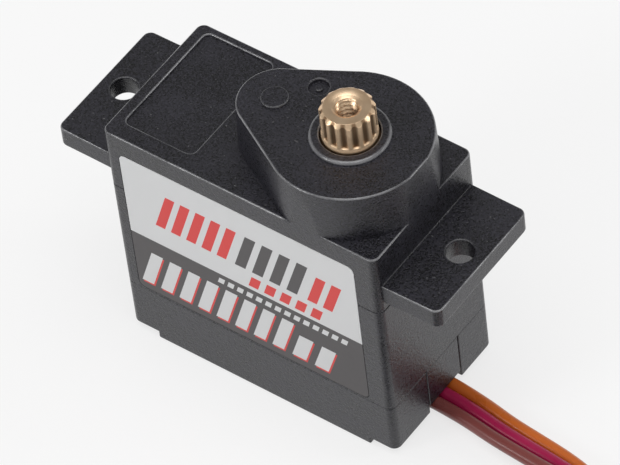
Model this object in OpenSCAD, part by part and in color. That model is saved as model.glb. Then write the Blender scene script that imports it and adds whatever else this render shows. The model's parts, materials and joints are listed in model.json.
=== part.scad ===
// Micro servo motor with a brass output shaft and a three-wire lead.
// Millimetres. +X points to the shaft end, -Y to the label, +Z up the output shaft.
// The origin is the centre of the case at the bottom of its lower pad.

/* [Case] */
// length of the case without the ears
case_l = 22.8; // [22:0.1:27]
// width of the case
case_w = 11.6; // [11.4:0.1:14]
// wall thickness of the three shells
wall = 0.8; // [0.7:0.05:0.85]
// radius of the upright edges
corner_r = 0.6; // [0.3:0.1:0.8]
// height of the joint between bottom and middle shell
low_seam_z = 5; // [4.8:0.1:5.2]
// height of the joint between middle and top shell
high_seam_z = 15.2; // [15:0.1:16]
// height of the flat roof of the top shell
roof_z = 20.7; // [20.6:0.1:22]
// length of the ledge at each end of the base
ledge_l = 2.25; // [1.5:0.05:2.4]
// height of the ledges above the lower pad
ledge_h = 0.6; // [0.3:0.1:0.7]
// floor thickness over the lower pad
floor_t = 1; // [0.8:0.1:1.2]

/* [Ears] */
// distance over both ears
ear_span = 32; // [30:0.1:36]
// width of an ear
ear_w = 10.6; // [8:0.1:11]
// thickness of an ear
ear_t = 1.65; // [1.2:0.05:2]
// top of the ears below the roof
ear_drop = 2.9; // [2.5:0.1:3.4]
// distance between the two mounting holes
hole_span = 28.26; // [27:0.02:32]
// radius of a mounting hole
hole_r = 1; // [0.8:0.05:1.2]

/* [Gear boss] */
// height of the raised gear boss above the roof
boss_h = 4; // [3.8:0.1:5]
// radius of its round end at the shaft, at the top
boss_r = 5.75; // [5.65:0.05:5.8]
// radius of its small end, at the top
nose_r = 2.92; // [2.8:0.02:3.1]
// how much wider the boss is at its foot
boss_flare = 0.18; // [0.05:0.01:0.3]
// radius of the collar round the shaft
collar_r = 2.85; // [2.5:0.05:3.2]
// height of the collar
collar_h = 0.3; // [0.1:0.05:0.6]
// radius of the raised disc over the gear axle
disc_r = 1; // [0.8:0.05:1.3]
// depth of the panel sunk into the roof
panel_d = 0.2; // [0.1:0.05:0.3]

/* [Output shaft] */
// distance from the shaft axis to the end of the case
shaft_inset = 5.65; // [5.6:0.05:5.7]
// number of splines
spline_n = 15; // [12:1:25]
// radius over the splines
spline_r = 1.93; // [1.8:0.01:2.2]
// depth of a spline groove
spline_d = 0.24; // [0.1:0.02:0.3]
// height of the shaft above the boss
shaft_h = 2.85; // [2.4:0.05:4]
// radius of the turning journal in the collar
journal_r = 2.05; // [2:0.05:2.3]
// radius of the threaded bore
thread_r = 0.8; // [0.6:0.05:1]

/* [Gears] */
// teeth of the motor pinion and the first wheel
n_motor = 9; // [9:1:10]
n_first = 39; // [36:1:39]
// teeth of the first and second pinions
n_small = 13; // [12:1:14]
// teeth of the second and third wheels
n_large = 37; // [36:1:37]
// teeth of the third pinion and the output wheel
n_third = 10; // [10:1:11]
n_output = 30; // [29:1:30]
// distance from the gear axle to the output shaft
axle_dist = 6.25; // [6.2:0.01:6.25]
// distance from the motor shaft to the gear axle
motor_dist = 5.25; // [5.1:0.01:5.3]
// radius of the gear axle
axle_r = 0.5; // [0.4:0.05:0.6]
// radial clearance of everything that turns on or in something
fit = 0.05; // [0.03:0.01:0.08]
// backlash between teeth
backlash = 0.03; // [0.02:0.01:0.06]

/* [Motor] */
// radius of the motor can
can_r = 4.4; // [4:0.1:4.5]
// thickness of the can
can_t = 0.35; // [0.25:0.05:0.5]
// height of the end cap's underside
motor_z = 3.4; // [3.2:0.1:3.8]
// radius of the motor shaft
motor_shaft_r = 0.4; // [0.3:0.05:0.5]

/* [Position sensor and board] */
// radius of the potentiometer
pot_r = 3.7; // [3.2:0.1:3.9]
// height of its underside
pot_z = 8.2; // [7.8:0.1:9]
// radius of its shaft
pot_shaft_r = 1; // [0.8:0.05:1.1]
// length of the circuit board
board_l = 9.5; // [8:0.1:9.6]
// width of the circuit board
board_w = 8.8; // [7:0.1:9]
// height of the board's underside
board_z = 4.6; // [4.4:0.1:4.9]

/* [Screws] */
// radius of a case screw
screw_r = 0.6; // [0.5:0.05:0.65]
// radius of its head
head_r = 1.05; // [0.9:0.05:1.1]
// height of its head
head_h = 0.7; // [0.5:0.05:0.8]
// distance of the screws from the case's end and side faces
screw_inset = 1.3; // [1.2:0.05:1.4]

/* [Label] */
// thickness of the label
label_t = 0.1; // [0.05:0.01:0.2]
// left edge, right edge and top of the label
label_x0 = -10.15; // [-10.5:0.05:-9]
label_x1 = 9.5; // [8:0.05:10.5]
label_top = 18.9; // [17:0.1:19.5]
// radius of the label's corners
label_r = 0.5; // [0.2:0.1:1]

/* [Lead] */
// radius of one wire
wire_r = 0.5; // [0.4:0.05:0.55]

/* [Hidden] */
$fn = 64;
shaft_x = case_l / 2 - shaft_inset;
axle_x = shaft_x - axle_dist;
motor_x = axle_x - motor_dist;
boss_z = roof_z + boss_h;
collar_z = boss_z + collar_h;
shaft_z = boss_z + shaft_h;
nose_x = axle_x + 0.3;
ear_top_z = roof_z - ear_drop;
ear_low_z = ear_top_z - ear_t;
screw_x = case_l / 2 - screw_inset;
screw_y = case_w / 2 - screw_inset;
pillar_r = screw_inset - 0.1;
deck_z = high_seam_z - 1.5;
inner_l = case_l - 2 * wall;
inner_w = case_w - 2 * wall;
boss_wall = 0.65;
boss_inner_z = boss_z - 0.8;
label_low = low_seam_z + 0.15;
gap = 0.05;
// gear levels: each wheel's underside, and the height of a wheel
wheel_t = 1;
first_z = high_seam_z + 0.3;
second_z = first_z + wheel_t + 0.2;
third_z = second_z + wheel_t + 0.25;
output_z = third_z + wheel_t + 1.15;
output_t = 1.8;
hub_z = output_z + output_t;
journal_z = hub_z + 0.9;
// modules follow from the distances between axes
mod_motor = 2 * motor_dist / (n_motor + n_first);
mod_small = 2 * axle_dist / (n_small + n_large);
mod_third = 2 * axle_dist / (n_third + n_output);
// profile shift that keeps small pinions from being undercut
shift = 0.4;
// sensor and motor heights
can_z = motor_z + 1;
wiper_z = pot_z + 0.75;
pot_top = deck_z - 0.8;
board_t = 0.6;
board_x0 = motor_x + can_r + 0.45;
// cable exit, where the lead's middle wire leaves the end wall
exit_y = 0.1;
notch_y0 = -1.7;
notch_y1 = 2.1;
clamp_z = 1.25;
wire_step = 2 * wire_r;
// plug and wound-up stretch of the lead
plug_l = 14;
plug_w = 7.9;
plug_h = 2.6;
plug_x = 12.6;
plug_y = -13.3;
pin_step = 2.54;
coil_x = 34;
coil_y = -5.9;
coil_r = 7.95;
// lead route: x, y, height of the middle wire, twist in degrees, spacing of the wires
lead_route = [
    [5.6, 0.1, 4.2, 0, 1],
    [7, 0.1, 2.5, 0, 1],
    [8.6, 0.1, 1, 0, 1],
    [9.8, 0.1, 0.72, 0, 1],
    [11.4, 0.1, 0.7, 0, 1],
    [14, -0.1, 0.6, 0, 1],
    [16.6, -0.5, 0.55, 0, 1],
    [19, -0.75, 0.55, 0, 1],
    [21.4, -1, 0.65, -6, 1],
    [23.6, -1.4, 0.95, -25, 1],
    [25.4, -2.3, 1.35, -58, 1],
    [26.6, -3.8, 1.5, -85, 1],
    [27.1, -5.9, 1.5, -90, 1]
];
tail_route = [
    [34, -13.3, 1.5, -90, 1],
    [31.6, -13.3, 1.5, -80, 1],
    [29.6, -13.3, 1.5, -45, 1.3],
    [27.8, -13.3, 1.3, -10, 2.3],
    [26.4, -13.3, 1.3, 0, 2.54],
    [25, -13.3, 1.3, 0, 2.54]
];

// ---- shared shapes ----

module rounded_rect(l, w, r) {
    square([l - 2 * r, w], center = true);
    square([l, w - 2 * r], center = true);
    for (x = [-1, 1], y = [-1, 1])
        translate([x * (l / 2 - r), y * (w / 2 - r)]) circle(r);
}

module slab(z0, z1, l, w, r) {
    translate([0, 0, z0]) linear_extrude(z1 - z0) rounded_rect(l, w, r);
}

// an upright cylinder from z0 to z1
module post(x, y, z0, z1, r) {
    translate([x, y, z0]) cylinder(h = z1 - z0, r = r);
}

// a box from one corner to the other
module block(a, b) {
    translate(a) cube(b - a);
}

module at_screws() {
    for (x = [-1, 1], y = [-1, 1]) translate([x * screw_x, y * screw_y, 0]) children();
}

// corners, 0.01 inside both circles, of the straight-sided web between them
function web(xa, ra, xb, rb) =
    let (a = 180 - acos((ra - rb) / (xa - xb)))
    [for (end = [[xa, ra, 1], [xb, rb, 1], [xb, rb, -1], [xa, ra, -1]])
        [end[0] + (end[1] - 0.01) * cos(a), end[2] * (end[1] - 0.01) * sin(a)]];

// outline of two circles with the web between them
module teardrop(xa, ra, xb, rb) {
    translate([xa, 0]) circle(ra);
    translate([xb, 0]) circle(rb);
    polygon(web(xa, ra, xb, rb));
}

// involute function, in degrees
function inv(a) = tan(a) * 180 / PI - a;

// half the angle of a tooth at radius r, for n teeth of module m shifted by x
function half_tooth(m, n, x, r) =
    let (pitch_r = m * n / 2, base_r = pitch_r * cos(20))
    ((PI / 2 + 2 * x * tan(20)) / n - backlash / 2 / pitch_r) * 180 / PI
        + inv(20) - (r > base_r ? inv(acos(base_r / r)) : 0);

// gear outline with a tooth centred at angle 0; the addendum is in modules
module gear_outline(m, n, x, addendum) {
    pitch_r = m * n / 2;
    root_r = pitch_r - (1.25 - x) * m;
    tip_r = pitch_r + addendum * m;
    low_r = max(root_r, pitch_r * cos(20));
    radii = concat([root_r], [for (k = [0:4]) low_r + (tip_r - low_r) * k / 4]);
    polygon([for (tooth = [0:n - 1], side = [-1, 1], k = [0:5])
        let (r = radii[side < 0 ? k : 5 - k], a = tooth * 360 / n + side * half_tooth(m, n, x, r))
        [r * cos(a), r * sin(a)]]);
}

module pinion(m, n, at, z0, z1) {
    translate([0, 0, z0]) rotate(at) linear_extrude(z1 - z0) gear_outline(m, n, shift, 1.2);
}

// a wheel has a gap, not a tooth, at the given angle
module wheel(m, n, gap_at, z0, z1) {
    translate([0, 0, z0]) rotate(gap_at + 180 / n)
        linear_extrude(z1 - z0) gear_outline(m, n, -shift, 0.53);
}

// ---- case ----

module screw_holes(z0, z1, r) {
    at_screws() post(0, 0, z0, z1, r);
}

module ear_plate() {
    difference() {
        slab(ear_low_z, ear_top_z, ear_span, ear_w, corner_r);
        for (x = [-1, 1]) post(x * hole_span / 2, 0, ear_low_z - 1, ear_top_z + 1, hole_r);
    }
}

// the label's outline, or its pocket's where away is above 0, from y = near to y = far
module label_plate(away, near, far) {
    translate([(label_x0 + label_x1) / 2, far, (label_low + label_top) / 2]) rotate([90, 0, 0])
        linear_extrude(far - near)
            rounded_rect(label_x1 - label_x0 + 2 * away, label_top - label_low + 2 * away, label_r + away);
}

module label_pocket() {
    label_plate(gap, -case_w / 2 - 1, label_t - case_w / 2);
}

// the gear boss, wider at its foot and cut off where it would pass the case's faces
module gear_boss() {
    foot_z = roof_z - 0.4;
    foot = [for (p = web(shaft_x, boss_r + boss_flare, nose_x, nose_r + boss_flare)) [p[0], p[1], foot_z]];
    top = [for (p = web(shaft_x, boss_r, nose_x, nose_r)) [p[0], p[1], boss_z]];
    intersection() {
        union() {
            for (end = [[shaft_x, boss_r], [nose_x, nose_r]]) translate([end[0], 0, foot_z])
                cylinder(h = boss_z - foot_z, r1 = end[1] + boss_flare, r2 = end[1]);
            polyhedron(
                points = concat(foot, top),
                faces = [[0, 1, 2, 3], [7, 6, 5, 4], [0, 4, 5, 1], [1, 5, 6, 2], [2, 6, 7, 3], [3, 7, 4, 0]]
            );
        }
        translate([0, 0, roof_z]) cube([case_l, case_w, 4 * boss_h], center = true);
    }
}

module end_stops() {
    for (side = [-1, 1]) translate([shaft_x, 0, 0]) rotate(side * 110)
        block([3.3, -0.6, hub_z + 0.2], [boss_r - boss_wall / 2, 0.6, boss_inner_z + 0.1]);
}

module top_case() color("#26262a") {
    difference() {
        union() {
            slab(high_seam_z, roof_z, case_l, case_w, corner_r);
            ear_plate();
            gear_boss();
            post(shaft_x, 0, boss_z - 0.1, collar_z, collar_r);
            post(axle_x, 0, boss_z - 0.1, boss_z + 0.18, disc_r);
        }
        difference() {
            slab(high_seam_z - 1, roof_z - wall, inner_l, inner_w, corner_r / 2);
            at_screws() post(0, 0, high_seam_z - 2, roof_z, pillar_r);
        }
        translate([0, 0, roof_z - wall - 0.1]) linear_extrude(boss_inner_z - roof_z + wall + 0.1)
            teardrop(shaft_x, boss_r - boss_wall, nose_x, nose_r - boss_wall);
        post(shaft_x, 0, boss_z - 2, collar_z + 1, journal_r + fit);
        post(axle_x, 0, boss_z - 1, boss_z - 0.3, axle_r + fit / 2);
        screw_holes(high_seam_z - 1, high_seam_z + 2.4, screw_r + 0.02);
        roof_panel();
        post(axle_x + 1.95, 2.4, boss_z - 0.3, boss_z + 1, 0.72);
        label_pocket();
    }
    post(axle_x + 1.95, 2.4, boss_z - 0.4, boss_z - 0.12, 0.28);
    difference() {
        post(shaft_x, 0, journal_z + 0.1, boss_inner_z + 0.1, journal_r + 0.9);
        post(shaft_x, 0, journal_z, boss_z, journal_r + fit);
    }
    end_stops();
}

// shallow panel sunk into the roof beside the boss
module roof_panel() {
    panel_x0 = -case_l / 2 + 0.9;
    panel_x1 = axle_x - 4.2;
    panel_y0 = -case_w / 2 + 1.4;
    panel_y1 = case_w / 2 - 0.6;
    difference() {
        translate([(panel_x0 + panel_x1) / 2, (panel_y0 + panel_y1) / 2, roof_z - panel_d])
            linear_extrude(1) rounded_rect(panel_x1 - panel_x0, panel_y1 - panel_y0, 0.5);
        gear_boss();
    }
}

// low rim that centres one shell in the next; away is its distance from the wall
module register_rim(z0, z1, away) {
    difference() {
        slab(z0, z1, inner_l - 2 * away, inner_w - 2 * away, corner_r / 2);
        slab(z0 - 1, z1 + 1, inner_l - 0.8, inner_w - 0.8, corner_r / 2);
        at_screws() post(0, 0, z0 - 1, z1 + 1, pillar_r + gap);
    }
}

module middle_case() color("#2a2a2e") {
    difference() {
        union() {
            difference() {
                slab(low_seam_z, high_seam_z, case_l, case_w, corner_r);
                difference() {
                    slab(low_seam_z - 1, deck_z, inner_l, inner_w, corner_r / 2);
                    at_screws() post(0, 0, 0, high_seam_z, pillar_r);
                }
            }
            register_rim(high_seam_z - 0.1, high_seam_z + 0.25, gap);
            block([motor_x + can_r, -inner_w / 2 - 0.1, low_seam_z + 0.6], [motor_x + can_r + 0.7, inner_w / 2 + 0.1, deck_z + 0.1]);
            for (turn = [0, 180]) translate([motor_x, 0, 0]) rotate(turn)
                block([-0.6, can_r, low_seam_z + 0.6], [0.6, inner_w / 2 + 0.1, deck_z + 0.1]);
        }
        screw_holes(low_seam_z - 1, high_seam_z + 1, screw_r + gap);
        post(motor_x, 0, deck_z - 0.1, deck_z + 0.7, 1.6);
        post(motor_x, 0, deck_z, high_seam_z + 1, motor_shaft_r + 0.3);
        post(axle_x, 0, deck_z + 0.3, high_seam_z + 1, axle_r + fit / 2);
        post(shaft_x, 0, deck_z - 0.1, deck_z + 0.9, 1.85);
        post(shaft_x, 0, deck_z, high_seam_z + 1, pot_shaft_r + fit);
        label_pocket();
    }
}

// two posts against the side walls that carry the board
module board_shelf(x) {
    for (side = [0, 1]) mirror([0, side, 0])
        block([x - 0.4, board_w / 2 - 0.5, floor_t - 0.1], [x + 0.4, inner_w / 2 + 0.1, board_z]);
}

module bottom_case() color("#28282c") {
    difference() {
        union() {
            difference() {
                slab(0, low_seam_z, case_l, case_w, corner_r);
                difference() {
                    slab(floor_t, low_seam_z + 1, inner_l, inner_w, corner_r / 2);
                    at_screws() post(0, 0, 0, low_seam_z, pillar_r);
                }
            }
            difference() {
                union() {
                    register_rim(low_seam_z - 0.1, low_seam_z + 0.4, gap);
                    register_rim(low_seam_z - 0.7, low_seam_z, -gap);
                }
                block([board_x0 - 2.5, -4, low_seam_z - 1], [case_l / 2 - wall, 4, low_seam_z + 1]);
            }
            for (x = [board_x0 + 1.5, board_x0 + board_l - 2.5]) board_shelf(x);
        }
        for (x = [-1, 1]) translate([x * (case_l - ledge_l) / 2, 0, ledge_h / 2 - 1])
            cube([ledge_l + 0.01, case_w + 1, ledge_h + 2], center = true);
        screw_holes(-1, low_seam_z + 1, screw_r + gap);
        screw_holes(-1, ledge_h + head_h + 0.1, head_r + gap);
        block([7.5, notch_y0, 0.15], [case_l, notch_y1, low_seam_z + 1]);
        block([case_l / 2 - wall - 0.75, notch_y0 - 0.6, floor_t], [case_l / 2 - wall, notch_y1 + 0.6, low_seam_z + 1]);
    }
}

module case_screws() color("#8a8c90") {
    seat = ledge_h + head_h + 0.1;
    at_screws() difference() {
        union() {
            post(0, 0, seat - head_h, seat, head_r);
            post(0, 0, seat - 0.1, high_seam_z + 2.2, screw_r);
        }
        translate([0, 0, seat - head_h]) {
            cube([1.4, 0.3, 0.7], center = true);
            cube([0.3, 1.4, 0.7], center = true);
        }
    }
}

module label() color("#e8e9ea") {
    label_plate(0, -case_w / 2, label_t - case_w / 2);
}

module cable_clamp() color("#303034") {
    face = case_l / 2;
    block([face - wall, notch_y0 + gap, clamp_z], [face, notch_y1 - gap, low_seam_z]);
    block([face - wall - 0.7, notch_y0 - 0.55, clamp_z], [face - wall, notch_y1 + 0.55, low_seam_z]);
}

// ---- output shaft and gears ----

module spline_outline() {
    pitch = 360 / spline_n;
    polygon([for (k = [0:spline_n - 1], p = [[-0.2, 0], [0.2, 0], [0.38, 0.75], [0.5, 1], [0.62, 0.75]])
        let (r = spline_r - spline_d * p[1], a = (k + p[0]) * pitch)
        [r * cos(a), r * sin(a)]]);
}

module output_shaft() color("#b98a4a") translate([shaft_x, 0, 0]) {
    difference() {
        union() {
            post(0, 0, output_z, journal_z, 1.7);
            post(0, 0, journal_z, collar_z, journal_r);
            post(0, 0, collar_z - 0.1, collar_z + 0.35, spline_r + 0.02);
            translate([0, 0, collar_z]) linear_extrude(shaft_z - 0.25 - collar_z) spline_outline();
            translate([0, 0, shaft_z - 0.5]) cylinder(h = 0.5, r1 = spline_r - spline_d - 0.02, r2 = spline_r - spline_d - 0.1);
        }
        post(0, 0, journal_z - 0.5, shaft_z + 1, thread_r);
        translate([0, 0, shaft_z - 0.3]) cylinder(h = 0.6, r1 = thread_r, r2 = thread_r + 0.6);
        post(0, 0, output_z - 1, output_z + 1.4, pot_shaft_r);
    }
}

module output_gear() color("#e9e6dc") translate([shaft_x, 0, 0]) {
    difference() {
        union() {
            wheel(mod_third, n_output, 180, output_z, hub_z);
            post(0, 0, hub_z - 0.1, journal_z, 2.4);
            post(0, 0, output_z - 0.85, output_z + 0.1, 2.3);
            block([2, -0.6, hub_z - 0.1], [4.4, 0.6, hub_z + 1.2]);
        }
        post(0, 0, output_z - 2, journal_z + 2, pot_shaft_r);
        post(0, 0, output_z, journal_z + 2, 1.7);
        post(0, 0, journal_z, journal_z + 3, journal_r + 0.95);
    }
}

module third_gear() color("#f0ede4") translate([axle_x, 0, 0]) difference() {
    union() {
        wheel(mod_small, n_large, 0, third_z, third_z + wheel_t);
        pinion(mod_third, n_third, 0, third_z + wheel_t - 0.1, hub_z + 0.1);
        post(0, 0, hub_z, boss_inner_z - 0.1, 1);
    }
    post(0, 0, third_z - 1, boss_z, axle_r + fit);
}

module second_gear() color("#e2ded2") translate([shaft_x, 0, 0]) difference() {
    union() {
        wheel(mod_small, n_large, 180, second_z, second_z + wheel_t);
        pinion(mod_small, n_small, 180, second_z + wheel_t - 0.1, third_z + wheel_t + 0.15);
        post(0, 0, high_seam_z + 0.05, second_z + 0.1, 1.45);
    }
    post(0, 0, high_seam_z - 1, output_z, pot_shaft_r + fit);
}

module first_gear() color("#ece8dd") translate([axle_x, 0, 0]) difference() {
    union() {
        wheel(mod_motor, n_first, 180, first_z, first_z + wheel_t);
        pinion(mod_small, n_small, 0, first_z + wheel_t - 0.1, third_z - 0.1);
        post(0, 0, high_seam_z + 0.05, first_z + 0.1, 1.2);
    }
    post(0, 0, high_seam_z - 1, third_z + 1, axle_r + fit);
}

module gear_axle() color("#b9bcc0") {
    post(axle_x, 0, deck_z + 0.3, boss_z - 0.35, axle_r);
}

// ---- motor ----

module motor_pinion() color("#c49a4e") translate([motor_x, 0, 0]) difference() {
    pinion(mod_motor, n_motor, 0, high_seam_z + 0.1, first_z + wheel_t + 0.1);
    post(0, 0, high_seam_z - 1, first_z + 3, motor_shaft_r);
}

module motor_shaft() color("#c4c6c9") {
    post(motor_x, 0, motor_z + 0.3, first_z + wheel_t + 0.2, motor_shaft_r);
}

core_z0 = can_z + 2;
core_z1 = core_z0 + 4.6;

module armature_core() color("#5e6268") translate([motor_x, 0, core_z0]) {
    linear_extrude(core_z1 - core_z0) difference() {
        union() {
            circle(1.2);
            for (k = [0:2]) rotate(k * 120) {
                translate([1.4, 0]) square([2, 0.9], center = true);
                intersection() {
                    difference() {
                        circle(2.85);
                        circle(2.35);
                    }
                    polygon([[0, 0], [4, -5.4], [6, 0], [4, 5.4]]);
                }
            }
        }
        circle(motor_shaft_r);
    }
}

module armature_windings() color("#a8582a") translate([motor_x, 0, 0]) {
    for (k = [0:2]) rotate(k * 120) difference() {
        block([1.35, -0.95, core_z0 - 0.5], [2.1, 0.95, core_z1 + 0.5]);
        block([0, -0.45, core_z0], [3, 0.45, core_z1]);
    }
}

module commutator() color("#c08a50") translate([motor_x, 0, 0]) difference() {
    post(0, 0, can_z + 0.1, core_z0, 0.95);
    post(0, 0, can_z - 1, core_z0 + 1, motor_shaft_r);
    for (k = [0:2]) rotate(60 + k * 120) block([0.6, -0.07, can_z], [1.5, 0.07, core_z0 - 0.3]);
}

module motor_can() color("#b4b6ba") translate([motor_x, 0, 0]) difference() {
    union() {
        post(0, 0, can_z, deck_z, can_r);
        post(0, 0, deck_z - 0.1, deck_z + 0.6, 1.5);
    }
    post(0, 0, can_z - 1, deck_z - 0.5, can_r - can_t);
    post(0, 0, can_z, deck_z + 1, motor_shaft_r + fit);
}

module motor_magnets() color("#3c3d42") translate([motor_x, 0, core_z0 - 0.6]) {
    linear_extrude(core_z1 - core_z0 + 1.2) for (side = [0, 180]) rotate(side) intersection() {
        difference() {
            circle(can_r - can_t - 0.01);
            circle(3);
        }
        polygon([[0, 0], [4, -7], [8, 0], [4, 7]]);
    }
}

module motor_end_cap() color("#e6e4de") translate([motor_x, 0, 0]) difference() {
    union() {
        post(0, 0, motor_z, can_z, can_r);
        post(0, 0, can_z - 0.1, can_z + 0.4, can_r - can_t);
    }
    post(0, 0, motor_z + 0.25, can_z + 1, motor_shaft_r + fit);
    post(0, 0, can_z - 0.1, can_z + 1, 2.6);
    for (y = [-1, 1]) block([1.4, y * 2 - 0.35, motor_z - 1], [1.7, y * 2 + 0.35, can_z + 1]);
}

module motor_brushes() color("#c08a50") translate([motor_x, 0, 0]) {
    for (y = [-1, 1]) block([-1.6, y * 1.08 - 0.1, can_z + 0.3], [1.7, y * 1.08 + 0.1, can_z + 1]);
}

module motor_terminals() color("#c9ccd0") translate([motor_x, 0, 0]) {
    for (y = [-1, 1]) {
        block([1.4, y * 2 - 0.35, motor_z - 0.8], [1.7, y * 2 + 0.35, can_z + 0.9]);
        block([1.4, min(y * 1.18, y * 1.75), can_z + 0.35], [1.7, max(y * 1.18, y * 1.75), can_z + 0.9]);
    }
}

// ---- position sensor ----

module pot_housing() color("#1f2a3a") translate([shaft_x, 0, 0]) difference() {
    union() {
        post(0, 0, pot_z + 0.6, pot_top, pot_r);
        post(0, 0, pot_top - 0.1, deck_z + 0.85, 1.8);
    }
    post(0, 0, pot_z, pot_top - 0.6, pot_r - 0.5);
    post(0, 0, pot_z, deck_z + 2, pot_shaft_r + fit);
}

module pot_track() color("#6b4a2c") translate([shaft_x, 0, 0]) {
    post(0, 0, pot_z, pot_z + 0.6, pot_r);
    difference() {
        post(0, 0, pot_z + 0.5, pot_z + 0.65, 2.7);
        post(0, 0, pot_z, pot_z + 2, 2);
    }
}

module pot_wiper() color("#cfa95a") translate([shaft_x, 0, 0]) difference() {
    union() {
        post(0, 0, wiper_z, wiper_z + 0.4, 1.5);
        block([0, -0.4, wiper_z], [2.6, 0.4, wiper_z + 0.2]);
    }
    post(0, 0, pot_z, pot_top, pot_shaft_r);
}

module pot_shaft() color("#d8d5ca") {
    post(shaft_x, 0, wiper_z, output_z + 1.4, pot_shaft_r);
}

module pot_terminals() color("#c9ccd0") {
    for (y = [-1, 0, 1]) translate([shaft_x + 1.5, y * 1.6, 0])
        block([-0.2, -0.25, board_z + board_t], [0.2, 0.25, pot_z]);
}

// ---- circuit board ----

module circuit_board() color("#1f5a3a") {
    block([board_x0, -board_w / 2, board_z], [board_x0 + board_l, board_w / 2, board_z + board_t]);
}

top_z = board_z + board_t;

module control_chip() color("#1c1c1e") translate([board_x0 + 3.2, 0, top_z]) {
    block([-1.4, -1.8, 0.1], [1.4, 1.8, 0.9]);
    for (x = [-1, 1], k = [-3:3])
        translate([x * 1.55, k * 0.5, 0.15]) cube([0.5, 0.22, 0.3], center = true);
}

module bridge_transistors() color("#232325") {
    for (y = [-1, 1]) translate([board_x0 + 3.2, y * 3.1, top_z]) {
        block([-0.9, -0.6, 0.08], [0.9, 0.6, 0.8]);
        for (x = [-0.6, 0.6], s = [-1, 1]) translate([x, s * 0.75, 0.1]) cube([0.3, 0.4, 0.2], center = true);
    }
}

module board_capacitors() color("#b08a5c") {
    for (y = [-1, 1]) translate([board_x0 + 8, y * 3, top_z]) block([-0.5, -0.8, 0], [0.5, 0.8, 0.7]);
    translate([board_x0 + 1, 0, top_z]) block([-0.4, -0.7, 0], [0.4, 0.7, 0.6]);
}

module board_resistors() color("#2b2b30") {
    for (y = [-1, 1]) translate([board_x0 + 6, y * 2.9, top_z]) block([-0.35, -0.5, 0], [0.35, 0.5, 0.4]);
}

// hook-up wire from a motor terminal to the underside of the board
module motor_lead(y) {
    tube([
        [motor_x + 1.7, y * 2, motor_z - 0.5],
        [motor_x + 2.3, y * 2, motor_z - 0.5],
        [motor_x + 3.6, y * 2.5, motor_z - 0.6],
        [board_x0 + 0.1, y * 3.2, board_z - 1.1],
        [board_x0 + 0.8, y * 3.4, board_z - 0.5],
        [board_x0 + 1, y * 3.4, board_z - 0.15]
    ], 0.3);
}

module motor_lead_red() color("#b3261e") motor_lead(-1);

module motor_lead_black() color("#151515") motor_lead(1);

// ---- lead ----

function flat(v) = [v[0], v[1]] / norm([v[0], v[1]]);

// centre of one wire at one row of a route; k is -1, 0 or 1 across the lead
function wire_point(route, i, k) =
    let (
        row = route[i],
        next = route[min(i + 1, len(route) - 1)],
        last = route[max(i - 1, 0)],
        way = flat(next - last),
        side = k * row[4] * wire_step
    ) [row[0] - way[1] * side * cos(row[3]), row[1] + way[0] * side * cos(row[3]), row[2] + side * sin(row[3])];

function unit(v) = v / norm(v);

// one ring of an eight-sided tube
function ring(line, i, r) =
    let (
        way = unit(line[min(i + 1, len(line) - 1)] - line[max(i - 1, 0)]),
        side = unit(cross(way, [0, 0, 1])),
        up = cross(side, way)
    ) [for (a = [22.5:45:360]) line[i] + r * (cos(a) * side + sin(a) * up)];

module tube(line, r) {
    last = 8 * (len(line) - 1);
    polyhedron(
        points = [for (i = [0:len(line) - 1]) each ring(line, i, r)],
        faces = concat(
            [[7, 6, 5, 4, 3, 2, 1, 0]],
            [for (i = [0:len(line) - 2], k = [0:7])
                [8 * i + k, 8 * i + (k + 1) % 8, 8 * (i + 1) + (k + 1) % 8, 8 * (i + 1) + k]],
            [[for (k = [0:7]) last + k]]
        )
    );
}

module lead_wire(k) {
    for (route = [lead_route, tail_route])
        tube([for (i = [0:len(route) - 1]) wire_point(route, i, k)], wire_r * 0.98);
}

module lead_coil(k) {
    post(coil_x, coil_y, (1 - k) * wire_step, (2 - k) * wire_step, coil_r);
}

module wire_orange() color("#d9762a") lead_wire(1);

module wire_red() color("#b02050") lead_wire(0);

module wire_brown() color("#7a4a48") lead_wire(-1);

module coil_orange() color("#d9762a") lead_coil(1);

module coil_red() color("#b02050") lead_coil(0);

module coil_brown() color("#7a4a48") lead_coil(-1);

module connector_housing() color("#1b1b1d") difference() {
    block([plug_x, plug_y - plug_w / 2, 0], [plug_x + plug_l, plug_y + plug_w / 2, plug_h]);
    // square sockets, round wire holes and a latch window over each contact
    for (k = [-1:1]) translate([0, plug_y + k * pin_step, plug_h / 2]) {
        block([plug_x - 1, -0.8, -0.8], [plug_x + 11.4, 0.8, 0.8]);
        translate([plug_x + 11, 0, 0]) rotate([0, 90, 0]) cylinder(h = 4, r = wire_r + 0.1);
        block([plug_x + 6.4, -0.5, 0], [plug_x + 8.4, 0.5, plug_h]);
    }
}

module connector_contacts() color("#c8a24a") {
    for (k = [-1:1]) translate([plug_x, plug_y + k * pin_step, plug_h / 2]) difference() {
        block([1.2, -0.75, -0.75], [11.4, 0.75, 0.75]);
        block([0, -0.45, -0.45], [10.8, 0.45, 0.45]);
    }
}

top_case();
middle_case();
bottom_case();
case_screws();
label();
output_shaft();
output_gear();
third_gear();
second_gear();
first_gear();
gear_axle();
motor_pinion();
motor_shaft();
armature_core();
armature_windings();
commutator();
motor_can();
motor_magnets();
motor_end_cap();
motor_brushes();
motor_terminals();
pot_housing();
pot_track();
pot_wiper();
pot_shaft();
pot_terminals();
circuit_board();
control_chip();
bridge_transistors();
board_capacitors();
board_resistors();
motor_lead_red();
motor_lead_black();
cable_clamp();
wire_orange();
wire_red();
wire_brown();
coil_orange();
coil_red();
coil_brown();
connector_housing();
connector_contacts();
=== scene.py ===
import json
import math
import bpy
import bmesh
import numpy as np
from mathutils import Matrix, Vector


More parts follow.
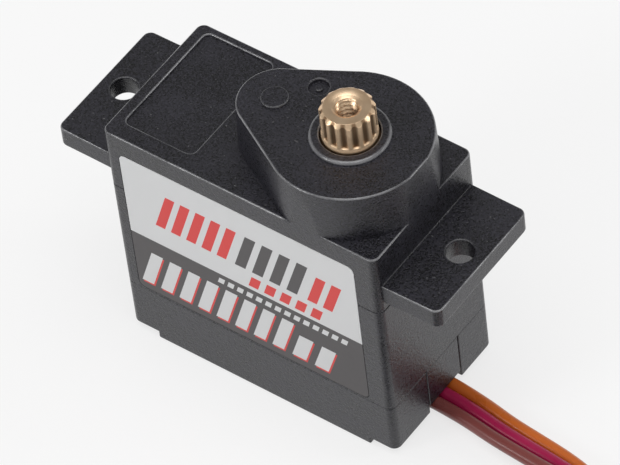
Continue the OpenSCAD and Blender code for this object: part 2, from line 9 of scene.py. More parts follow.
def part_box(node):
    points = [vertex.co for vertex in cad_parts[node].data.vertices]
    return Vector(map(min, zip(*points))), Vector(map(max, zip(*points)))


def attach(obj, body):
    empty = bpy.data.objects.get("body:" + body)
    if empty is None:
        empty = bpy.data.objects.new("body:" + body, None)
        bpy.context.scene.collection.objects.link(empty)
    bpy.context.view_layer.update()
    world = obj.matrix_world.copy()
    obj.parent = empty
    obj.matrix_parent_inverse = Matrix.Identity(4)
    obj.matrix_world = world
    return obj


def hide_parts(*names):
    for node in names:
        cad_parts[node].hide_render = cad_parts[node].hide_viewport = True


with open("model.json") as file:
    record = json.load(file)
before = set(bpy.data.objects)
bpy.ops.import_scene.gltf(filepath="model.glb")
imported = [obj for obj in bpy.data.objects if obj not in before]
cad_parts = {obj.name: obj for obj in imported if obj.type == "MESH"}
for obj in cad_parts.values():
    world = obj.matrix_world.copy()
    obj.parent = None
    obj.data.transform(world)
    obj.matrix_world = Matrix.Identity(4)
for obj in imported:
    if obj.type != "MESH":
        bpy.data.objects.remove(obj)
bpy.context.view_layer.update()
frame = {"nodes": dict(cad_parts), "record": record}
nodes = frame["nodes"]
slotOf = {part["node"]: part["material_slot"] for part in frame["record"]["subparts"]}
mounts = {mount["name"]: mount for mount in frame["record"]["mounts"]}
mm = 0.001


def boxOf(node):
    # a node's lowest and highest corners in millimetres
    return [[round(v / mm, 2) for v in corner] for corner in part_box(node)]


# places that the pieces below share, in millimetres
shaftLow, shaftHigh = boxOf("output_shaft")
labelLow, labelHigh = boxOf("label")
shaftX = (shaftLow[0] + shaftHigh[0]) / 2
caseEnd = boxOf("middle_case")[1][0]
collarTop = boxOf("top_case")[1][2]
earTop = mounts["ear_top"]["pos_m"][2] / mm
earHoleX = mounts["ear_holes"]["dims"]["spacing_x_mm"] / 2


def addObject(name, data):
    thing = bpy.data.objects.new(name, data)
    bpy.context.scene.collection.objects.link(thing)
    return thing


# a long lens, slightly rolled; millimetres and degrees
camera = {
    "place": (184.74, -208.29, 332.46), "azimuth": 41.41, "elevation": 49.11, "roll": 7.593,
    "lens": 358.73, "sensor": 36,
}


def makeCamera(c):
    # forward from azimuth and elevation; right is level, then rolled about forward
    azimuth, elevation, roll = (math.radians(c[key]) for key in ("azimuth", "elevation", "roll"))
    forward = Vector((
        -math.sin(azimuth) * math.cos(elevation),
        math.cos(azimuth) * math.cos(elevation),
        -math.sin(elevation),
    ))
    level = forward.cross(Vector((0, 0, 1))).normalized()
    down = forward.cross(level)
    right = level * math.cos(roll) + down * math.sin(roll)
    up = right.cross(forward)
    data = bpy.data.cameras.new("productLens")
    data.lens = c["lens"]
    data.sensor_width = c["sensor"]
    data.clip_start = 0.01
    data.clip_end = 10
    lens = addObject("productLens", data)
    turn = Matrix((right, up, -forward)).transposed().to_4x4()
    lens.matrix_world = Matrix.Translation(Vector(c["place"]) * mm) @ turn
    bpy.context.scene.camera = lens


makeCamera(camera)
print("camera placed")


class Tap:
    # one output socket; arithmetic on it adds Math nodes
    def __init__(self, paint, socket):
        self.paint = paint
        self.socket = socket

    def maths(self, operation, *values):
        return self.paint.add("ShaderNodeMath", {"operation": operation}, values)

    def __add__(self, other):
        return self.maths("ADD", self, other)

    def __sub__(self, other):
        return self.maths("SUBTRACT", self, other)

    def __rsub__(self, other):
        return self.maths("SUBTRACT", other, self)

    def __mul__(self, other):
        return self.maths("MULTIPLY", self, other)

    def __truediv__(self, other):
        return self.maths("DIVIDE", self, other)

    def __rtruediv__(self, other):
        return self.maths("DIVIDE", other, self)

    def __gt__(self, other):
        return self.maths("GREATER_THAN", self, other)

    def __lt__(self, other):
        return self.maths("LESS_THAN", self, other)

    __radd__ = __add__
    __rmul__ = __mul__

    def orMore(self, other):
        return self.maths("MAXIMUM", self, other)

    def fraction(self):
        return self.maths("FRACT", self)

    def smooth(self, low, high):
        # 0 below low, 1 above high, eased between
        values = {"Value": self, "From Min": low, "From Max": high}
        return self.paint.add("ShaderNodeMapRange", {"interpolation_type": "SMOOTHSTEP"}, values)


class Paint:
    # a node material built from expressions
    def __init__(self, name):
        self.material = bpy.data.materials.new(name)
        self.material.use_nodes = True
        self.tree = self.material.node_tree
        self.tree.nodes.clear()
        self.out = self.tree.nodes.new("ShaderNodeOutputMaterial")
        self.shader = self.tree.nodes.new("ShaderNodeBsdfPrincipled")
        self.tree.links.new(self.shader.outputs[0], self.out.inputs[0])
        self.place = self.add("ShaderNodeTexCoord", {}, {}, "Object")

    def add(self, kind, settings, values, output=0):
        # any node: its settings first, then its inputs by name or in order; gives one output
        node = self.tree.nodes.new(kind)
        for key, value in settings.items():
            setattr(node, key, value)
        for key, value in (values.items() if isinstance(values, dict) else enumerate(values)):
            self.feed(node.inputs[key], value)
        return Tap(self, node.outputs[output])

    def feed(self, socket, value):
        if isinstance(value, Tap):
            self.tree.links.new(value.socket, socket)
        else:
            socket.default_value = value

    def set(self, **values):
        # sockets of the shader, with _ for a space
        for key, value in values.items():
            self.feed(self.shader.inputs[key.replace("_", " ")], value)

    def noise(self, scale, detail=2.0, rough=0.5, stretch=None):
        where = self.place
        if stretch:
            where = self.add("ShaderNodeMapping", {}, {"Vector": where, "Scale": stretch})
        values = {"Vector": where, "Scale": scale, "Detail": detail, "Roughness": rough}
        return self.add("ShaderNodeTexNoise", {}, values)

    def attribute(self, name):
        return self.add("ShaderNodeAttribute", {"attribute_name": name}, {}, "Fac")

    def axes(self):
        # the place in millimetres, as three values
        return [self.add("ShaderNodeSeparateXYZ", {}, [self.place], k) * 1000 for k in range(3)]

    def blend(self, factor, a, b):
        # from colour a to colour b; a plain colour gets its alpha here
        first, second = (v if isinstance(v, Tap) else (*v, 1) for v in (a, b))
        return self.add("ShaderNodeMix", {"data_type": "RGBA"}, {0: factor, 6: first, 7: second}, 2)

    def bump(self, height, depth):
        return self.add("ShaderNodeBump", {}, {"Height": height, "Distance": depth, "Strength": 1.0})


def newPiece(name, points, faces, body, material):
    mesh = bpy.data.meshes.new(name)
    mesh.from_pydata(np.asarray(points, float).reshape(-1, 3), [], [tuple(f) for f in faces])
    mesh.materials.append(material)
    mesh.polygons.foreach_set("use_smooth", np.ones(len(mesh.polygons), bool))
    piece = addObject(name, mesh)
    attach(piece, body)
    return piece


def tubeFaces(rows, columns):
    # quads between neighbouring rows; the last column joins the first
    row, column = np.meshgrid(np.arange(rows - 1), np.arange(columns), indexing="ij")
    near, far = row * columns, (row + 1) * columns
    following = (column + 1) % columns
    return np.stack([near + column, near + following, far + following, far + column], -1).reshape(-1, 4)


def pointOutwards(piece):
    # points that lie on one another become one, and every face then looks outwards
    body = bmesh.new()
    body.from_mesh(piece.data)
    bmesh.ops.remove_doubles(body, verts=body.verts, dist=1e-8)
    bmesh.ops.recalc_face_normals(body, faces=body.faces)
    body.to_mesh(piece.data)
    body.free()


def sharpen(piece, degrees):
    piece.data.set_sharp_from_angle(angle=math.radians(degrees))


print("materials")
plastic = {
    "tone": (0.0118, 0.0113, 0.0158), "darkest": 0.15, "palest": 2.30, "rough": 0.31, "ior": 1.55,
    "grain": 7500, "grainDepth": 0.000042, "grainGloss": 0.36, "pits": 2600, "pitDepth": 0.000018,
    "cloud": 240, "dust": 0.5, "dustScale": 5200, "dustTone": (0.22, 0.22, 0.22),
    # the pale edge colour: partly rubbed wear, partly a painted highlight along the roundings
    "rubbedAndHighlit": (0.20, 0.20, 0.21), "rubScale": 420, "rubSheen": 0.16, "rubCoat": 0.2,
}


def makeCasePlastic(name, c):
    # dark moulded plastic: fine spark-eroded grain, a faint cloudy tone, a few pale dust specks, and edges
    # rubbed paler and shinier in uneven stretches; the paler edge colour is partly wear and partly a painted
    # highlight
    p = Paint(name)
    grain = p.noise(c["grain"], 2, 0.6)
    pits = p.noise(c["pits"], 2, 0.5)
    cloud = p.noise(c["cloud"], 3, 0.6)
    dust = p.noise(c["dustScale"], 0, 0.5).smooth(0.83, 0.88) * c["dust"]
    speckle = (grain - 0.5) * 2.2 + (cloud - 0.5) * 0.7 + 0.5
    dark, pale = ([v * c[key] for v in c["tone"]] for key in ("darkest", "palest"))
    tone = p.blend(speckle.smooth(0, 1), dark, pale)
    # the pale edge colour is partly rubbed wear and partly a painted highlight, strongest on up-facing
    # roundings
    edge = p.attribute("edgeWearAndHighlight")
    rubAndHighlight = edge * (p.noise(c["rubScale"], 3, 0.6).smooth(0.30, 0.62) * 0.6 + 0.4)
    p.set(Base_Color=p.blend(rubAndHighlight, p.blend(dust, tone, c["dustTone"]), c["rubbedAndHighlit"]))
    p.set(Coat_Weight=rubAndHighlight, Coat_Roughness=c["rubCoat"], IOR=c["ior"])
    uneven = (cloud - 0.5) * 0.12 + (grain - 0.5) * c["grainGloss"]
    p.set(Roughness=c["rough"] + uneven - edge * c["rubSheen"])
    p.set(Normal=p.bump(grain * c["grainDepth"] + pits * c["pitDepth"], 1.0))
    return p.material


def makePlain(name, tone, rough, metal=0.0, mottle=0.12, scale=900, depth=0.000002, coat=0.0):
    # even finish with a slight mottle in tone and gloss
    p = Paint(name)
    n = p.noise(scale, 3, 0.6)
    dark = [v * (1 - mottle) for v in tone]
    pale = [min(v * (1 + mottle), 1) for v in tone]
    p.set(Base_Color=p.blend(n, dark, pale), Metallic=metal, Coat_Weight=coat)
    p.set(Roughness=rough + (n - 0.5) * 0.12, Normal=p.bump(p.noise(scale * 6, 2), depth))
    return p.material


brass = {
    # the dark tone of the painted shade in the grooves and down the bore
    "tone": (0.76, 0.50, 0.29), "pale": (0.95, 0.74, 0.52), "hollowShade": (0.20, 0.115, 0.06),
    "rough": 0.34, "scuff": 0.4, "marks": 2600, "markDepth": 0.000004, "cloud": 900,
}


def makeBrass(name, c):
    # turned brass: rings of fine tool marks across the axis, duller in patches, painted shade darkening the
    # spline grooves and the bore's depth, and scuffed crests that scatter more light
    p = Paint(name)
    marks = p.noise(c["marks"], 2, 0.6, stretch=(0.35, 0.35, 3.5))
    cloud = p.noise(c["cloud"], 3, 0.6)
    # painted shade: the hollows and the bore's depth are darkened towards the shade tone
    hollowShade = p.attribute("hollowShade").smooth(0.25, 0.95)
    crest = p.attribute("crest").smooth(0.35, 0.9)
    metal = p.blend(marks * 0.5 + cloud * 0.5, c["tone"], c["pale"])
    p.set(Base_Color=p.blend(hollowShade * 0.85, metal, c["hollowShade"]), Metallic=1 - crest * c["scuff"])
    p.set(Roughness=c["rough"] + (cloud - 0.5) * 0.24 + (hollowShade + crest) * 0.1)
    p.set(Normal=p.bump(marks, c["markDepth"]))
    return p.material


# finishes by the record's slot: tone, roughness, and what else differs from a plain even one
looks = {
    "case_plastic": makeCasePlastic("caseSatinPlastic", plastic),
    "screw_steel": makePlain("screwSteel", (0.45, 0.45, 0.46), 0.32, 1.0),
    "shaft_brass": makeBrass("turnedBrass", brass),
    "gear_plastic": makePlain("gearNylon", (0.82, 0.80, 0.72), 0.42, mottle=0.04),
    "axle_steel": makePlain("axleSteel", (0.62, 0.62, 0.63), 0.22, 1.0),
    "core_steel": makePlain("laminatedSteel", (0.30, 0.31, 0.33), 0.42, 1.0),
    "copper": makePlain("copper", (0.72, 0.40, 0.22), 0.35, 1.0),
    "motor_steel": makePlain("drawnSteel", (0.60, 0.60, 0.61), 0.28, 1.0),
    "magnet": makePlain("ferrite", (0.045, 0.045, 0.05), 0.6),
    "motor_plastic": makePlain("endCapNylon", (0.78, 0.77, 0.72), 0.45, mottle=0.05),
    "tinned_metal": makePlain("tinned", (0.70, 0.70, 0.70), 0.38, 1.0),
    "sensor_plastic": makePlain("sensorPlastic", (0.02, 0.04, 0.09), 0.42),
    "sensor_track": makePlain("carbonTrack", (0.16, 0.09, 0.045), 0.55),
    "board": makePlain("boardLacquer", (0.015, 0.13, 0.05), 0.28, coat=0.4),
    "chip_plastic": makePlain("chipEpoxy", (0.018, 0.018, 0.02), 0.55),
    "capacitor_ceramic": makePlain("capacitorCeramic", (0.42, 0.30, 0.17), 0.45),
    "connector_plastic": makePlain("plugPlastic", (0.016, 0.016, 0.018), 0.38),
    "contact_metal": makePlain("platedContact", (0.86, 0.66, 0.32), 0.24, 1.0),
}

insulation = {
    "tones": {
        "orange": (0.62, 0.145, 0.022),
        "red": (0.40, 0.012, 0.075),
        "brown": (0.235, 0.062, 0.055),
        "black": (0.012, 0.012, 0.013),
    },
    "cloud": 450, "uneven": 0.15, "rough": 0.30, "glossChange": 0.16, "marks": 3800, "markDepth": 0.000004,
}


def makeInsulation(name, tone, c):
    # soft glossy sleeve with a slightly uneven tone and shine
    p = Paint(name)
    cloud = p.noise(c["cloud"], 2, 0.5)
    dark = [v * (1 - c["uneven"]) for v in tone]
    pale = [min(v * (1 + c["uneven"]), 1) for v in tone]
    p.set(Base_Color=p.blend(cloud, dark, pale), Roughness=c["rough"] + (cloud - 0.5) * c["glossChange"])
    p.set(Normal=p.bump(p.noise(c["marks"], 2), c["markDepth"]))
    return p.material


for colour, tone in insulation["tones"].items():
    looks["insulation_" + colour] = makeInsulation(colour + "Insulation", tone, insulation)

# label in millimetres: white above the split; a row of bars has its low and high edge, first bar, number of
# bars, step and colour; slope is how far a bar leans for each millimetre up, duty is a bar's share of a step
film = {
    "white": (0.705, 0.710, 0.715), "dark": (0.072, 0.066, 0.068), "coral": (0.72, 0.042, 0.038),
    "split": 11.0, "upright": 12.0, "slope": 0.35, "duty": 0.62,
    "rough": 0.36, "coat": 0.08, "shine": 0.3, "grain": 2500, "grainDepth": 0.000002,
    "rows": [
        (13.0, 16.6, -8.1, 5, 1.3, "coral"),
        (13.0, 16.6, -1.35, 4, 1.45, "dark"),
        (13.0, 16.0, 4.75, 2, 1.3, "coral"),
        (11.35, 12.45, 0.2, 5, 1.3, "coral"),
        (10.0, 10.55, -2.1, 14, 0.8, "white"),
        (5.8, 9.35, -7.55, 8, 1.6, "coral"),
        (5.95, 9.5, -7.7, 8, 1.6, "white"),
        (5.8, 8.35, 5.35, 2, 1.9, "coral"),
        (5.95, 8.5, 5.2, 2, 1.9, "white"),
    ],
}


def makeLabelFilm(name, c):
    # printed film: white above a straight split, dark below, with plain slanted bars in both
    p = Paint(name)
    x, y, z = p.axes()
    slant = x - (z - c["upright"]) * c["slope"]
    tone = p.blend(z > c["split"], c["dark"], c["white"])
    for low, high, start, number, step, colour in c["rows"]:
        along = (slant - start) / step
        inside = (z > low) * (z < high) * (along > 0) * (along < number)
        tone = p.blend(inside * (along.fraction() < c["duty"]), tone, c[colour])
    grain = p.noise(c["grain"], 2)
    p.set(Base_Color=tone, Roughness=c["rough"] + (grain - 0.5) * 0.1, Normal=p.bump(grain, c["grainDepth"]))
    p.set(Coat_Weight=c["coat"], Specular_IOR_Level=c["shine"])
    return p.material


looks["label_film"] = makeLabelFilm("labelFilm", film)
for name, node in nodes.items():
    node.data.materials.clear()
    node.data.materials.append(looks[slotOf[name]])

# case shells, in millimetres and degrees: merged copies with rounded outer edges. Each piece has its
# rounding's width and how strongly its edges are painted paler, partly as wear and partly as a painted
# highlight.
# The collar is rounded more than the rest, the fillet is the shallow one between an ear and the end wall, and
# edges round the small rings are hardly paler
edges = {
    "pieces": {
        "top_case": (0.13, 1.0),
        "middle_case": (0.05, 0.0),
        "bottom_case": (0.10, 0.08),
        "cable_clamp": (0.10, 0.08),
        "connector_housing": (0.07, 0.4),
        "case_screws": (0.05, 0.0),
    },
    "segments": 3, "weld": 0.0005, "near": 0.01, "flat": 0.6, "outward": 32, "crease": 28, "together": 38,
    "roof": {"height": 20.7, "long": 10, "runOut": 0.8},
    "lip": {"height": 0.15},
    "collar": {"radius": 2.85, "near": 0.03, "times": 2.0},
    "fillet": {"long": 5, "share": 0.35},
    "label": {"aside": 0.1, "above": 0.02},
    "wearAndHighlight": {"least": 0.25, "fullLift": 0.5, "ringsAbove": 15, "calm": 0.25},
    "rings": [(earHoleX, 0, 1.3), (-earHoleX, 0, 1.3), (-0.5, 0, 1.25), (1.45, 2.4, 1.1)],
}


def sharedCorners(vertexOf, count):
    # every ordered pair of face corners that share a vertex, as two arrays
    order = np.argsort(vertexOf, kind="stable")
    first = np.concatenate([[0], np.cumsum(count)])[:-1]
    span = count[vertexOf[order]]
    within = np.arange(span.sum()) - np.repeat(np.cumsum(span) - span, span)
    return np.repeat(order, span), order[np.repeat(first[vertexOf[order]], span) + within]


def settle(piece, wornAndLit, c):
    # keeps the rounded mesh; each corner's normal is the area-weighted sum of the normals of those faces
    # round its vertex that turn little from its own, so flat faces stay flat and roundings roll into them
    bpy.context.view_layer.update()
    mesh = bpy.data.meshes.new_from_object(piece.evaluated_get(bpy.context.evaluated_depsgraph_get()))
    piece.modifiers.clear()
    piece.data = mesh
    loops, faces, points = len(mesh.loops), len(mesh.polygons), len(mesh.vertices)
    vertexOf = np.zeros(loops, int)
    normal = np.zeros(faces * 3)
    area = np.zeros(faces)
    total = np.zeros(faces, int)
    mesh.loops.foreach_get("vertex_index", vertexOf)
    mesh.polygons.foreach_get("normal", normal)
    mesh.polygons.foreach_get("area", area)
    mesh.polygons.foreach_get("loop_total", total)
    normal = normal.reshape(-1, 3)
    faceOf = np.repeat(np.arange(faces), total)
    count = np.bincount(vertexOf, minlength=points)
    one, other = sharedCorners(vertexOf, count)
    near = (normal[faceOf[one]] * normal[faceOf[other]]).sum(1) > math.cos(math.radians(c["together"]))
    mean = np.zeros((loops, 3))
    np.add.at(mean, one[near], (normal * area[:, None])[faceOf[other[near]]])
    mean /= np.maximum(np.linalg.norm(mean, axis=1, keepdims=True), 1e-12)
    mesh.normals_split_custom_set(mean.tolist())

    # wear and painted highlight: edges are paler only where every face round the vertex is part of a
    # rounding, and most where it faces up, as a painted highlight
    wearAndHighlight = c["wearAndHighlight"]
    slot = np.zeros(faces, int)
    mesh.polygons.foreach_get("material_index", slot)
    flat = np.bincount(vertexOf, weights=(slot[faceOf] == 0) * 1.0, minlength=points) > 0
    lift = np.zeros(points)
    np.add.at(lift, vertexOf, mean[:, 2])
    lift = np.clip(lift / np.maximum(count, 1), 0, 1)
    # a painted highlight as well as wear: paler the more the rounding faces up
    rubbedAndHighlit = wornAndLit * (wearAndHighlight["least"] + (1 - wearAndHighlight["least"]) * np.clip(lift / wearAndHighlight["fullLift"], 0, 1))
    rubbedAndHighlit = np.where(flat, 0.0, rubbedAndHighlit)
    spot = np.zeros(points * 3)
    mesh.vertices.foreach_get("co", spot)
    x, y, z = spot.reshape(-1, 3).T / mm
    for ringX, ringY, radius in c["rings"]:
        calm = (np.hypot(x - ringX, y - ringY) < radius) & (z > wearAndHighlight["ringsAbove"])
        rubbedAndHighlit = np.where(calm, rubbedAndHighlit * wearAndHighlight["calm"], rubbedAndHighlit)
    mesh.attributes.new("edgeWearAndHighlight", "FLOAT", "POINT").data.foreach_set("value", rubbedAndHighlit.astype(np.float32))
    mesh.polygons.foreach_set("material_index", np.zeros(faces, int))
    mesh.materials.pop(index=1)


def roundingOf(edge, c):
    # an edge's share of the widest rounding: outward edges, but not the shallow rim round the label or the
    # thin lip under the lead; the collar's rim in full; and of the inward ones only the ears' fillets
    collar, fillet, label = c["collar"], c["fillet"], c["label"]
    ends = [v.co / mm for v in edge.verts]

    def level(height):
        return all(abs(end.z - height) < c["near"] for end in ends)

    def besideLabel(end):
        aside = label["aside"]
        inside = all(labelLow[k] - aside < end[k] < labelHigh[k] + aside for k in (0, 2))
        return inside and end.y < labelHigh[1] + label["above"]

    if not edge.is_manifold:
        return 0.0
    if not edge.is_convex:
        corner = level(earTop) and all(abs(abs(end.x) - caseEnd) < c["near"] for end in ends)
        return fillet["share"] if corner and edge.calc_length() > fillet["long"] * mm else 0.0
    if edge.calc_face_angle(0) <= math.radians(c["outward"]) or level(c["lip"]["height"]):
        return 0.0
    if all(besideLabel(end) for end in ends):
        return 0.0
    fromAxis = [math.hypot(end.x - shaftX, end.y) for end in ends]
    if level(collarTop) and all(abs(r - collar["radius"]) < collar["near"] for r in fromAxis):
        return 1.0
    return 1 / collar["times"]


def roundedCopy(name, c):
    # same shape as the CAD node, with its flat faces merged and its edges rounded
    width, wornAndLit = c["pieces"][name]
    body = bmesh.new()
    body.from_mesh(nodes[name].data)
    bmesh.ops.remove_doubles(body, verts=body.verts, dist=c["weld"] * mm)
    bmesh.ops.dissolve_limit(body, angle_limit=math.radians(c["flat"]), verts=body.verts, edges=body.edges)

    # the boss's wall runs out into the roof's two long edges; a corner just before keeps the rounding's width
    roof = c["roof"]
    height, near = roof["height"] * mm, c["near"] * mm
    for edge in [e for e in body.edges if all(abs(v.co.z - height) < near for v in e.verts)]:
        last = max(edge.verts, key=lambda v: v.co.x)
        if last.co.x - edge.other_vert(last).co.x > roof["long"] * mm:
            bmesh.utils.edge_split(edge, last, roof["runOut"] * mm / edge.calc_length())
    share = [roundingOf(edge, c) for edge in body.edges]
    mesh = bpy.data.meshes.new(name + "Shell")
    body.to_mesh(mesh)
    body.free()
    weight = mesh.attributes.new("bevel_weight_edge", "FLOAT", "EDGE")
    weight.data.foreach_set("value", np.array(share, np.float32))
    mesh.polygons.foreach_set("use_smooth", np.ones(len(mesh.polygons), bool))
    for slot in range(2):  # the second marks the roundings until the wear and painted highlight are set
        mesh.materials.append(looks[slotOf[name]])
    piece = addObject(name + "Shell", mesh)
    sharpen(piece, c["crease"])
    bevel = piece.modifiers.new("softEdges", "BEVEL")
    bevel.limit_method = "WEIGHT"
    bevel.width = width * c["collar"]["times"] * mm
    bevel.segments = c["segments"]
    bevel.use_clamp_overlap = False
    bevel.material = 1
    settle(piece, wornAndLit, c)
    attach(piece, "case")
    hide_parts(name)


for name in edges["pieces"]:
    roundedCopy(name, edges)
print("case shells rounded")

# output shaft in millimetres and degrees: splined where it stands out of the boss; foot is radius and height
# from the web up to the journal, and the neck is a little wider than the splines
shaft = {
    "splines": 15, "phase": -4, "tip": 1.93, "root": 1.77, "low": 25.3, "runOut": 0.07, "high": 27.27,
    "foot": [(0, 21.5), (1, 21.5), (1, 20.1), (1.7, 20.1), (1.7, 22.8), (2.05, 22.8), (2.05, 24.6)],
    "neck": {"wider": 0.02, "low": 24.7, "high": 25.16, "end": 25.2},
    "chamfer": 0.27, "rim": 0.025, "edge": 0.02,
    "bore": 0.84, "mouth": 1.03, "mouthDeep": 0.14, "deep": 22.3,
    "thread": 0.40, "threadDepth": 0.22, "threadLow": 22.5, "threadIn": 0.1,
    # strength of the painted shade in the bore, and the depth at which it is full
    "threadShade": 0.6, "shadeFullDepth": 2.0, "crestEnd": 0.05,
    "rises": 24, "chamferSteps": 8, "threadRows": 150, "steps": 360, "crease": 35,
}


def shaftProfile(c):
    # rows of radius, height, spline share and thread share, up the outside and down the bore
    tip, neck, bore, top, edge = c["tip"], c["neck"], c["bore"], shaftHigh[2], c["edge"]
    outside = [(r, z, 0, 0) for r, z in c["foot"]]
    outside += [(tip + neck["wider"], neck[key], 0, 0) for key in ("low", "high")]
    outside.append((tip, neck["end"], 0, 0))
    for z in np.linspace(c["low"], c["high"], c["rises"]):
        outside.append((tip, z, min((z - c["low"]) / c["runOut"], 1), 0))
    for k in np.linspace(0, 1, c["chamferSteps"] + 1)[1:]:
        outside.append((tip - c["chamfer"] * k, c["high"] + (top - edge - c["high"]) * k, 1, 0))
    outside.append((tip - c["chamfer"] - c["rim"], top, 0, 0))
    mouth = [(c["mouth"] + 0.03, top, 0, 0), (c["mouth"], top - edge, 0, 0)]
    mouth.append((bore + 0.04, top - c["mouthDeep"], 0, 0))
    start = top - c["mouthDeep"] - edge
    down = np.linspace(start, c["threadLow"], c["threadRows"])
    thread = [(bore, z, 0, min((start - z) / c["threadIn"], 1)) for z in down]
    bottom = [(bore - 0.06, c["deep"], 0, 0), (0, c["deep"], 0, 0)]
    return np.array(outside + mouth + thread + bottom, float)


def makeShaft(c):
    # the profile turned round the axis. A point keeps the smaller of the profile's radius and the spline's, a
    # raised cosine of the angle, so the top chamfer cuts the splines off; the thread is a triangle wave of
    # height over pitch plus angle over a full turn
    radius, height, spline, thread = (column[:, None] for column in shaftProfile(c).T)
    angle = np.linspace(0, 2 * np.pi, c["steps"], endpoint=False)[None]
    hollow = spline * (0.5 - 0.5 * np.cos(c["splines"] * (angle - math.radians(c["phase"]))))
    r = np.minimum(radius, np.where(spline > 0, c["tip"] - (c["tip"] - c["root"]) * hollow, np.inf))
    turn = (height / c["thread"] + angle / (2 * np.pi)) % 1
    r = r + thread * c["threadDepth"] * (np.abs(turn - 0.5) * 2 - 0.6)
    z = np.repeat(height, c["steps"], 1)
    points = np.stack([shaftX + r * np.cos(angle), r * np.sin(angle), z], -1) * mm
    faces = tubeFaces(len(radius), c["steps"])
    piece = newPiece("outputShaftTurned", points, faces, "output", looks["shaft_brass"])
    # painted shade fills the spline hollows and deepens down the thread; the crests are the splines' tops
    depth = np.clip((shaftHigh[2] - z) / c["shadeFullDepth"], 0, 1)
    hollowShade = np.where(thread > 0, c["threadShade"] * depth, hollow)
    crest = (1 - hollow) * ((z > c["neck"]["low"]) & (z < c["high"] + c["crestEnd"])) * (thread == 0)
    for key, value in (("hollowShade", hollowShade), ("crest", crest)):
        spread = piece.data.attributes.new(key, "FLOAT", "POINT")
        spread.data.foreach_set("value", value.ravel().astype(np.float32))
    pointOutwards(piece)
    sharpen(piece, c["crease"])
    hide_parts("output_shaft")


makeShaft(shaft)
print("output shaft turned")

# lead in millimetres and degrees: three wires side by side, wound up past the view, into the plug; a route's
# rows are x, y, height, twist and spacing
lead = {
    "diameter": 1.0, "drawn": 0.985, "step": 0.3, "sides": 14, "eases": 3, "perPoint": 8,
    "route": [
        (5.6, 0.1, 4.2, 0, 1), (7, 0.1, 2.5, 0, 1), (8.6, 0.1, 1, 0, 1), (9.8, 0.1, 0.72, 0, 1),
        (11.4, 0.1, 0.7, -2, 1), (14, -0.1, 0.67, -7, 1), (16.6, -0.5, 0.70, -11, 1),
        (19, -0.75, 0.74, -13, 1), (21.4, -1, 0.82, -17, 1), (23.6, -1.4, 1.02, -30, 1),
        (25.4, -2.3, 1.35, -58, 1), (26.6, -3.8, 1.5, -85, 1), (27.1, -5.9, 1.5, -90, 1),
    ],
    "tail": [
        (34, -13.3, 1.5, -90, 1), (31.6, -13.3, 1.5, -80, 1), (29.6, -13.3, 1.5, -45, 1.3),
        (27.8, -13.3, 1.3, -10, 2.3), (26.4, -13.3, 1.3, 0, 2.54), (23.4, -13.3, 1.3, 0, 2.54),
    ],
    "coil": {
        "x": 34, "y": -5.9, "height": 1.5, "inner": 4.0, "pitch": 2.2, "start": 288,
        "turnIn": 464, "turnOut": 554, "gap": 4, "sweep": 172,
    },
}


def smoothThrough(points, per):
    # a curve through every point whose slope at each is half the step between its neighbours
    p = np.vstack([2 * points[0] - points[1], points, 2 * points[-1] - points[-2]])
    t = np.linspace(0, 1, per, endpoint=False)[None, :, None]
    a, b, c, d = (p[k:len(p) - 3 + k, None] for k in range(4))
    squared = (2 * a - 5 * b + 4 * c - d) * t ** 2
    cubed = (3 * b - a - 3 * c + d) * t ** 3
    curve = 0.5 * (2 * b + (c - a) * t + squared + cubed)
    return np.vstack([curve.reshape(-1, points.shape[1]), points[-1]])


def besideRoute(route, offset, per):
    # the route's curve, moved sideways by the offset times its spacing and tipped by its twist
    x, y, z, twist, spacing = smoothThrough(np.array(route, float), per).T
    way = np.gradient(np.stack([x, y], -1), axis=0)
    way /= np.linalg.norm(way, axis=1, keepdims=True)
    level = offset * spacing * np.cos(np.radians(twist))
    raised = offset * spacing * np.sin(np.radians(twist))
    return np.stack([x - way[:, 1] * level, y + way[:, 0] * level, z + raised], -1)


def coilTurns(coil, height):
    # in along a spiral, through two half circles at the middle, and out between its turns
    start, opposite = coil["start"], coil["start"] - 180
    half = coil["inner"] / 2
    leanX, leanY = half * math.cos(math.radians(start)), half * math.sin(math.radians(start))
    inward = np.linspace(coil["turnIn"], coil["gap"], 120)
    outward = np.linspace(coil["gap"], coil["turnOut"], 140)

    def polar(r, degrees, aside=0.0, along=0.0):
        a = np.radians(degrees)
        x = coil["x"] + aside + r * np.cos(a)
        y = coil["y"] + along + r * np.sin(a)
        return np.stack([x, y, np.full(a.shape, height)], -1)

    return [
        polar(coil["inner"] + coil["pitch"] * inward / 360, start - inward),
        polar(half, np.linspace(start, start + coil["sweep"], 24), leanX, leanY),
        polar(half, np.linspace(opposite + coil["sweep"], opposite, 24), -leanX, -leanY),
        polar(coil["inner"] + coil["pitch"] * outward / 360, opposite - outward),
    ]


def wirePath(k, c):
    # k is -1, 0 or 1 across the lead; the whole way in even steps, with its joins eased
    offset = k * c["diameter"]
    turns = coilTurns(c["coil"], c["coil"]["height"] - offset)
    start, end = (besideRoute(c[part], offset, c["perPoint"]) for part in ("route", "tail"))
    whole = np.vstack([start, *turns, end])
    gone = np.concatenate([[0], np.cumsum(np.linalg.norm(np.diff(whole, axis=0), axis=1))])
    even = np.linspace(0, gone[-1], int(gone[-1] / c["step"]))
    path = np.stack([np.interp(even, gone, whole[:, axis]) for axis in range(3)], -1)
    for ease in range(c["eases"]):
        path[1:-1] = 0.25 * path[:-2] + 0.5 * path[1:-1] + 0.25 * path[2:]
    return path


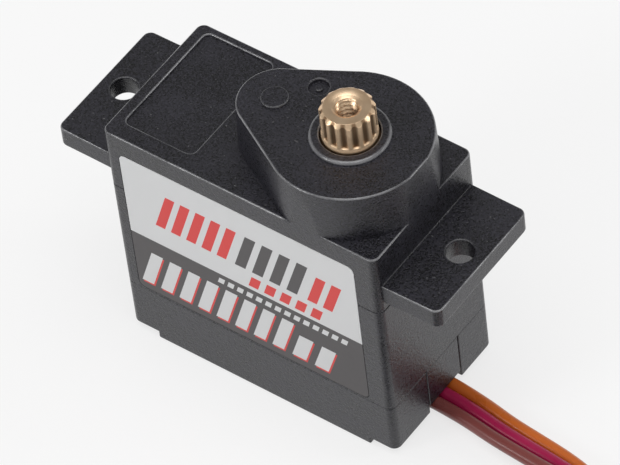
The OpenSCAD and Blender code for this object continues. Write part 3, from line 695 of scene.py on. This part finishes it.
def makeWire(name, k, colour, c):
    # a circle carried square to the path: side is level, up completes the frame; the ends are closed
    path = wirePath(k, c)
    way = np.gradient(path, axis=0)
    way /= np.linalg.norm(way, axis=1, keepdims=True)
    side = np.cross(way, [0, 0, 1.0])
    side /= np.linalg.norm(side, axis=1, keepdims=True)
    up = np.cross(side, way)
    a = np.linspace(0, 2 * np.pi, c["sides"], endpoint=False)[None, :, None]
    radius = c["diameter"] / 2 * c["drawn"]
    rings = path[:, None] + radius * (np.cos(a) * side[:, None] + np.sin(a) * up[:, None])
    nearEnd = np.arange(c["sides"])
    ends = [nearEnd[::-1], nearEnd + (len(path) - 1) * c["sides"]]
    faces = [*tubeFaces(len(path), c["sides"]), *ends]
    piece = newPiece(name, rings * mm, faces, "case", looks["insulation_" + colour])
    pointOutwards(piece)
    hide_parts("wire_" + colour, "coil_" + colour)


for k, colour in ((1, "orange"), (0, "red"), (-1, "brown")):
    makeWire(colour + "Wire", k, colour, lead)

# a pale room by the sine of the height above the horizon, and the floor's share of its own white
studio = {
    "horizon": 0.94, "overhead": 0.30, "dimFrom": 0.02, "dimTo": 0.30,
    "floor": 0.72, "floorTone": 0.92, "floorHalf": 3.0, "floorDrop": 0.0001,
}


def makeRoom(c):
    # white at the horizon, dimmer overhead
    world = bpy.data.worlds.new("softRoom")
    bpy.context.scene.world = world
    world.use_nodes = True
    tree = world.node_tree
    tree.nodes.clear()
    out = tree.nodes.new("ShaderNodeOutputWorld")
    back = tree.nodes.new("ShaderNodeBackground")
    place = tree.nodes.new("ShaderNodeTexCoord")
    split = tree.nodes.new("ShaderNodeSeparateXYZ")
    power = tree.nodes.new("ShaderNodeMapRange")
    power.interpolation_type = "SMOOTHSTEP"
    power.inputs["From Min"].default_value = c["dimFrom"]
    power.inputs["From Max"].default_value = c["dimTo"]
    power.inputs["To Min"].default_value = c["horizon"]
    power.inputs["To Max"].default_value = c["overhead"]
    back.inputs["Color"].default_value = (1, 1, 1, 1)
    tree.links.new(place.outputs["Generated"], split.inputs[0])
    tree.links.new(split.outputs[2], power.inputs["Value"])
    tree.links.new(power.outputs[0], back.inputs["Strength"])
    tree.links.new(back.outputs[0], out.inputs[0])


def makeFloor(c):
    # part paint, part its own white for what looks straight at it, so the shadow stays
    p = Paint("paleFloor")
    straight = p.add("ShaderNodeLightPath", {}, {}, "Is Camera Ray")
    for kind in ("Is Glossy Ray", "Is Transmission Ray"):
        straight = straight.orMore(p.add("ShaderNodeLightPath", {}, {}, kind))
    p.set(Base_Color=(c["floorTone"], c["floorTone"], c["floorTone"], 1), Roughness=0.9)
    glow = p.add("ShaderNodeEmission", {}, {"Color": (1, 1, 1, 1)})
    paint = Tap(p, p.shader.outputs[0])
    p.feed(p.out.inputs[0], p.add("ShaderNodeMixShader", {}, [straight * c["floor"], paint, glow]))
    half, low = c["floorHalf"], -c["floorDrop"]
    corners = [(x * half, y * half, low) for x, y in ((-1, -1), (1, -1), (1, 1), (-1, 1))]
    mesh = bpy.data.meshes.new("paleFloor")
    mesh.from_pydata(corners, [], [(0, 1, 2, 3)])
    mesh.materials.append(p.material)
    addObject("paleFloor", mesh)


lamps = {
    "aim": (0, 0, 0.012),
    "boxes": [
        {"name": "topSoftbox", "at": (0.10, -0.12, 1.0), "size": 0.85, "power": 5.0},
        {"name": "leftSoftbox", "at": (-0.42, -0.76, 0.50), "size": 0.25, "power": 2.0},
        {"name": "rightSoftbox", "at": (0.80, 0.50, 0.46), "size": 0.25, "power": 1.3},
    ],
}


def makeLamp(c, aim):
    data = bpy.data.lights.new(c["name"], "AREA")
    data.size = c["size"]
    data.energy = c["power"]
    lamp = addObject(c["name"], data)
    lamp.location = c["at"]
    lamp.rotation_mode = "QUATERNION"
    lamp.rotation_quaternion = (Vector(aim) - Vector(c["at"])).to_track_quat("-Z", "Y")


makeRoom(studio)
makeFloor(studio)
for box in lamps["boxes"]:
    makeLamp(box, lamps["aim"])
bpy.context.scene.view_settings.view_transform = "Standard"
print("studio lit")
